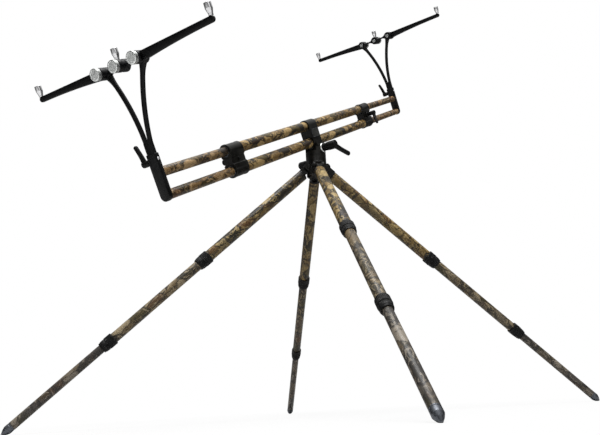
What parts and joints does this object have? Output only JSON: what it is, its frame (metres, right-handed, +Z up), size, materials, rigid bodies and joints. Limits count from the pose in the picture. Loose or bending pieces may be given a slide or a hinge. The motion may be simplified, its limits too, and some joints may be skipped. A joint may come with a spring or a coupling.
{
  "type": "rod pod",
  "caption": "Free-standing fishing rod pod: telescopic splayed legs on a hub, a tilting twin-tube bar with sliding ends, and folding forks with threaded rod rests.",
  "frame": {"origin": "on the ground, under the middle of the overall box", "axes": "+Z up; +X along the bar in plan, from the low front fork to the high rear fork; +Y to the left"},
  "size_m": [1.0304, 0.8246, 1.0321],
  "materials": {
    "camo_tube": "semi-gloss lacquer over a mottled tan, olive and dark brown pattern",
    "black_alloy": "satin black anodised",
    "black_plastic": "moulded, lightly grained",
    "silver_alloy": "turned, pale anodised",
    "bright_steel": "polished stainless steel",
    "grey_alloy": "plain turned, dulled by use"
  },
  "bodies": {
    "hub": {"leg_hub": "black_alloy", "leg_pins": "bright_steel"},
    "front_right_leg_top": {"front_right_leg_knuckle": "black_alloy", "front_right_upper_leg": "camo_tube"},
    "front_right_upper_lock": {"front_right_upper_collar": "black_plastic"},
    "front_right_leg_middle": {"front_right_middle_leg": "camo_tube"},
    "front_right_lower_lock": {"front_right_lower_collar": "black_plastic"},
    "front_right_leg_foot": {"front_right_lower_leg": "camo_tube", "front_right_foot": "grey_alloy"},
    "front_left_leg_top": {"front_left_leg_knuckle": "black_alloy", "front_left_upper_leg": "camo_tube"},
    "front_left_upper_lock": {"front_left_upper_collar": "black_plastic"},
    "front_left_leg_middle": {"front_left_middle_leg": "camo_tube"},
    "front_left_lower_lock": {"front_left_lower_collar": "black_plastic"},
    "front_left_leg_foot": {"front_left_lower_leg": "camo_tube", "front_left_foot": "grey_alloy"},
    "rear_right_leg_top": {"rear_right_leg_knuckle": "black_alloy", "rear_right_upper_leg": "camo_tube"},
    "rear_right_upper_lock": {"rear_right_upper_collar": "black_plastic"},
    "rear_right_leg_middle": {"rear_right_middle_leg": "camo_tube"},
    "rear_right_lower_lock": {"rear_right_lower_collar": "black_plastic"},
    "rear_right_leg_foot": {"rear_right_lower_leg": "camo_tube", "rear_right_foot": "grey_alloy"},
    "rear_left_leg_top": {"rear_left_leg_knuckle": "black_alloy", "rear_left_upper_leg": "camo_tube"},
    "rear_left_upper_lock": {"rear_left_upper_collar": "black_plastic"},
    "rear_left_leg_middle": {"rear_left_middle_leg": "camo_tube"},
    "rear_left_lower_lock": {"rear_left_lower_collar": "black_plastic"},
    "rear_left_leg_foot": {"rear_left_lower_leg": "camo_tube", "rear_left_foot": "grey_alloy"},
    "head": {"swivel_head": "black_alloy", "tilt_washer": "silver_alloy"},
    "swivel_lock": {"swivel_knob": "black_plastic"},
    "bar": {"centre_block": "black_alloy", "main_tubes": "camo_tube", "front_clamp_block": "black_alloy", "rear_clamp_block": "black_alloy"},
    "tilt_lock": {"tilt_lever": "black_plastic"},
    "front_end": {"front_extension_tubes": "camo_tube", "front_upright": "black_alloy"},
    "front_clamp_lock": {"front_clamp_lever": "black_plastic"},
    "front_upright_lock": {"front_upright_lever": "black_plastic"},
    "front_fork": {"front_fork": "black_alloy", "front_fork_knobs": "silver_alloy", "front_centre_rest": "bright_steel"},
    "front_left_arm": {"front_left_wing": "black_alloy", "front_left_rest": "bright_steel"},
    "front_right_arm": {"front_right_wing": "black_alloy", "front_right_rest": "bright_steel"},
    "rear_end": {"rear_extension_tubes": "camo_tube", "rear_upright": "black_alloy"},
    "rear_clamp_lock": {"rear_clamp_lever": "black_plastic"},
    "rear_upright_lock": {"rear_upright_lever": "black_plastic"},
    "rear_fork": {"rear_fork": "black_alloy", "rear_fork_knobs": "silver_alloy", "rear_centre_rest": "bright_steel"},
    "rear_left_arm": {"rear_left_wing": "black_alloy", "rear_left_rest": "bright_steel"},
    "rear_right_arm": {"rear_right_wing": "black_alloy", "rear_right_rest": "bright_steel"}
  },
  "joints": [
    {"name": "front_right_fold", "type": "hinge", "parent": "hub", "child": "front_right_leg_top", "pos_m": [0.03588, -0.01367, 0.51802], "axis": [0.6833, -0.7302, 0], "range_deg": [0, 44]},
    {"name": "front_right_upper_twist", "type": "hinge", "parent": "front_right_leg_top", "child": "front_right_upper_lock", "pos_m": [0.0378, -0.01186, 0.51501], "axis": [-0.5482, -0.513, -0.6605], "range_deg": [0, 45]},
    {"name": "front_right_upper_slide", "type": "slide", "parent": "front_right_leg_top", "child": "front_right_leg_middle", "axis": [0.5482, 0.513, 0.6605], "range_m": [0, 0.178]},
    {"name": "front_right_lower_twist", "type": "hinge", "parent": "front_right_leg_middle", "child": "front_right_lower_lock", "pos_m": [0.0378, -0.01186, 0.51501], "axis": [-0.5482, -0.513, -0.6605], "range_deg": [0, 45]},
    {"name": "front_right_lower_slide", "type": "slide", "parent": "front_right_leg_middle", "child": "front_right_leg_foot", "axis": [0.5482, 0.513, 0.6605], "range_m": [0, 0.186]},
    {"name": "front_left_fold", "type": "hinge", "parent": "hub", "child": "front_left_leg_top", "pos_m": [0.03588, 0.01367, 0.51802], "axis": [-0.6833, -0.7302, 0], "range_deg": [0, 44]},
    {"name": "front_left_upper_twist", "type": "hinge", "parent": "front_left_leg_top", "child": "front_left_upper_lock", "pos_m": [0.0378, 0.01186, 0.51501], "axis": [-0.5482, 0.513, -0.6605], "range_deg": [0, 45]},
    {"name": "front_left_upper_slide", "type": "slide", "parent": "front_left_leg_top", "child": "front_left_leg_middle", "axis": [0.5482, -0.513, 0.6605], "range_m": [0, 0.178]},
    {"name": "front_left_lower_twist", "type": "hinge", "parent": "front_left_leg_middle", "child": "front_left_lower_lock", "pos_m": [0.0378, 0.01186, 0.51501], "axis": [-0.5482, 0.513, -0.6605], "range_deg": [0, 45]},
    {"name": "front_left_lower_slide", "type": "slide", "parent": "front_left_leg_middle", "child": "front_left_leg_foot", "axis": [0.5482, -0.513, 0.6605], "range_m": [0, 0.186]},
    {"name": "rear_right_fold", "type": "hinge", "parent": "hub", "child": "rear_right_leg_top", "pos_m": [0.06508, -0.01367, 0.51802], "axis": [0.6833, 0.7302, 0], "range_deg": [0, 44]},
    {"name": "rear_right_upper_twist", "type": "hinge", "parent": "rear_right_leg_top", "child": "rear_right_upper_lock", "pos_m": [0.06315, -0.01186, 0.51501], "axis": [0.5482, -0.513, -0.6605], "range_deg": [0, 45]},
    {"name": "rear_right_upper_slide", "type": "slide", "parent": "rear_right_leg_top", "child": "rear_right_leg_middle", "axis": [-0.5482, 0.513, 0.6605], "range_m": [0, 0.178]},
    {"name": "rear_right_lower_twist", "type": "hinge", "parent": "rear_right_leg_middle", "child": "rear_right_lower_lock", "pos_m": [0.06315, -0.01186, 0.51501], "axis": [0.5482, -0.513, -0.6605], "range_deg": [0, 45]},
    {"name": "rear_right_lower_slide", "type": "slide", "parent": "rear_right_leg_middle", "child": "rear_right_leg_foot", "axis": [-0.5482, 0.513, 0.6605], "range_m": [0, 0.186]},
    {"name": "rear_left_fold", "type": "hinge", "parent": "hub", "child": "rear_left_leg_top", "pos_m": [0.06508, 0.01367, 0.51802], "axis": [-0.6833, 0.7302, 0], "range_deg": [0, 44]},
    {"name": "rear_left_upper_twist", "type": "hinge", "parent": "rear_left_leg_top", "child": "rear_left_upper_lock", "pos_m": [0.06315, 0.01186, 0.51501], "axis": [0.5482, 0.513, -0.6605], "range_deg": [0, 45]},
    {"name": "rear_left_upper_slide", "type": "slide", "parent": "rear_left_leg_top", "child": "rear_left_leg_middle", "axis": [-0.5482, -0.513, 0.6605], "range_m": [0, 0.178]},
    {"name": "rear_left_lower_twist", "type": "hinge", "parent": "rear_left_leg_middle", "child": "rear_left_lower_lock", "pos_m": [0.06315, 0.01186, 0.51501], "axis": [0.5482, 0.513, -0.6605], "range_deg": [0, 45]},
    {"name": "rear_left_lower_slide", "type": "slide", "parent": "rear_left_leg_middle", "child": "rear_left_leg_foot", "axis": [-0.5482, -0.513, 0.6605], "range_m": [0, 0.186]},
    {"name": "head_swivel", "type": "hinge", "parent": "hub", "child": "head", "pos_m": [0.05048, 0, 0.51802], "axis": [0, 0, 1], "continuous": true},
    {"name": "swivel_knob_turn", "type": "hinge", "parent": "hub", "child": "swivel_lock", "pos_m": [0.05048, 0, 0.53382], "axis": [0, 1, 0], "range_deg": [0, 180]},
    {"name": "bar_tilt", "type": "hinge", "parent": "head", "child": "bar", "pos_m": [0.05048, 0, 0.56212], "axis": [0, 1, 0], "range_deg": [-7.5, 57.5]},
    {"name": "tilt_lever_turn", "type": "hinge", "parent": "head", "child": "tilt_lock", "pos_m": [0.05048, 0, 0.56212], "axis": [0, -1, 0], "range_deg": [0, 120]},
    {"name": "front_extension", "type": "slide", "parent": "bar", "child": "front_end", "axis": [-0.887, 0, -0.4617], "range_m": [-0.16, 0.06]},
    {"name": "front_clamp_lever_turn", "type": "hinge", "parent": "bar", "child": "front_clamp_lock", "pos_m": [-0.22918, 0, 0.4583], "axis": [0, 1, 0], "range_deg": [0, 120]},
    {"name": "front_upright_lever_turn", "type": "hinge", "parent": "front_end", "child": "front_upright_lock", "pos_m": [-0.42365, 0, 0.39873], "axis": [0, 1, 0], "range_deg": [0, 120]},
    {"name": "front_fork_height", "type": "slide", "parent": "front_end", "child": "front_fork", "axis": [-0.4617, 0, 0.887], "range_m": [0, 0.05]},
    {"name": "front_left_wing_fold", "type": "hinge", "parent": "front_fork", "child": "front_left_arm", "pos_m": [-0.49383, 0.0407, 0.53355], "axis": [-0.887, 0, -0.4617], "range_deg": [0, 90]},
    {"name": "front_right_wing_fold", "type": "hinge", "parent": "front_fork", "child": "front_right_arm", "pos_m": [-0.49383, -0.0407, 0.53355], "axis": [0.887, 0, 0.4617], "range_deg": [0, 90]},
    {"name": "rear_extension", "type": "slide", "parent": "bar", "child": "rear_end", "axis": [0.887, 0, 0.4617], "range_m": [-0.16, 0.06]},
    {"name": "rear_clamp_lever_turn", "type": "hinge", "parent": "bar", "child": "rear_clamp_lock", "pos_m": [0.29593, 0, 0.73166], "axis": [0, -1, 0], "range_deg": [0, 120]},
    {"name": "rear_upright_lever_turn", "type": "hinge", "parent": "rear_end", "child": "rear_upright_lock", "pos_m": [0.48075, 0, 0.86953], "axis": [0, 1, 0], "range_deg": [0, 120]},
    {"name": "rear_fork_height", "type": "slide", "parent": "rear_end", "child": "rear_fork", "axis": [-0.4617, 0, 0.887], "range_m": [0, 0.05]},
    {"name": "rear_left_wing_fold", "type": "hinge", "parent": "rear_fork", "child": "rear_left_arm", "pos_m": [0.41056, 0.0407, 1.00435], "axis": [-0.887, 0, -0.4617], "range_deg": [0, 90]},
    {"name": "rear_right_wing_fold", "type": "hinge", "parent": "rear_fork", "child": "rear_right_arm", "pos_m": [0.41056, -0.0407, 1.00435], "axis": [0.887, 0, 0.4617], "range_deg": [0, 90]}
  ]
}
